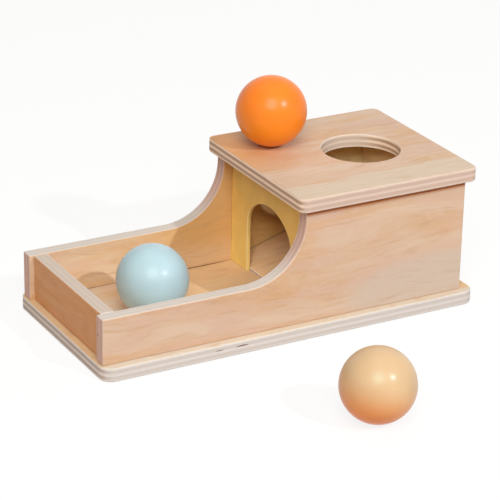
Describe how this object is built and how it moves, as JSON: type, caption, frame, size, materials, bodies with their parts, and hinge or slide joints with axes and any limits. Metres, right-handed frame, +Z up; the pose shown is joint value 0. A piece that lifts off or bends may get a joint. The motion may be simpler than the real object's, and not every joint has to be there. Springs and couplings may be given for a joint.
{
  "type": "object permanence box",
  "caption": "Plywood toy box with a round drop hole in its lid, an inner ramp and an arch that opens into a tray, with painted wooden balls to drop in and find again.",
  "frame": {"origin": "middle of the base plate's underside, on the surface that the box stands on", "axes": "+X along the box from the open tray to the lidded end, +Y across it to the far side, +Z up"},
  "size_m": [0.2586, 0.2559, 0.1368],
  "materials": {
    "plywood": "sanded and clear sealed, matt",
    "yellow_paint": "matt mustard paint on thin plywood",
    "beech": "bare beech",
    "zinc_steel": "zinc plated",
    "orange_paint": "satin paint on a turned wooden ball",
    "blue_paint": "satin paint on a turned wooden ball",
    "peach_paint": "satin paint on a turned wooden ball"
  },
  "bodies": {
    "box": {"base_plate": "plywood", "near_side_panel": "plywood", "far_side_panel": "plywood", "tray_end_panel": "plywood", "box_end_panel": "plywood", "divider_panel": "yellow_paint", "lid_panel": "plywood", "ramp_board": "plywood", "ramp_bearer": "beech", "base_screws": "zinc_steel", "lid_dowels": "beech", "tray_end_dowels": "beech", "box_end_dowels": "beech"},
    "orange_ball": {"orange_ball": "orange_paint"},
    "blue_ball": {"blue_ball": "blue_paint"},
    "peach_ball": {"peach_ball": "peach_paint"}
  },
  "joints": [
    {"name": "orange_roll", "type": "slide", "parent": "box", "child": "orange_ball", "axis": [0.8544, -0.5197, 0], "range_m": [-0.03, 0.0315]},
    {"name": "blue_roll", "type": "slide", "parent": "box", "child": "blue_ball", "axis": [1, 0, 0], "range_m": [-0.0239, 0.076]},
    {"name": "peach_roll", "type": "slide", "parent": "box", "child": "peach_ball", "axis": [0, 1, 0], "range_m": [-0.06, 0.0915]}
  ]
}
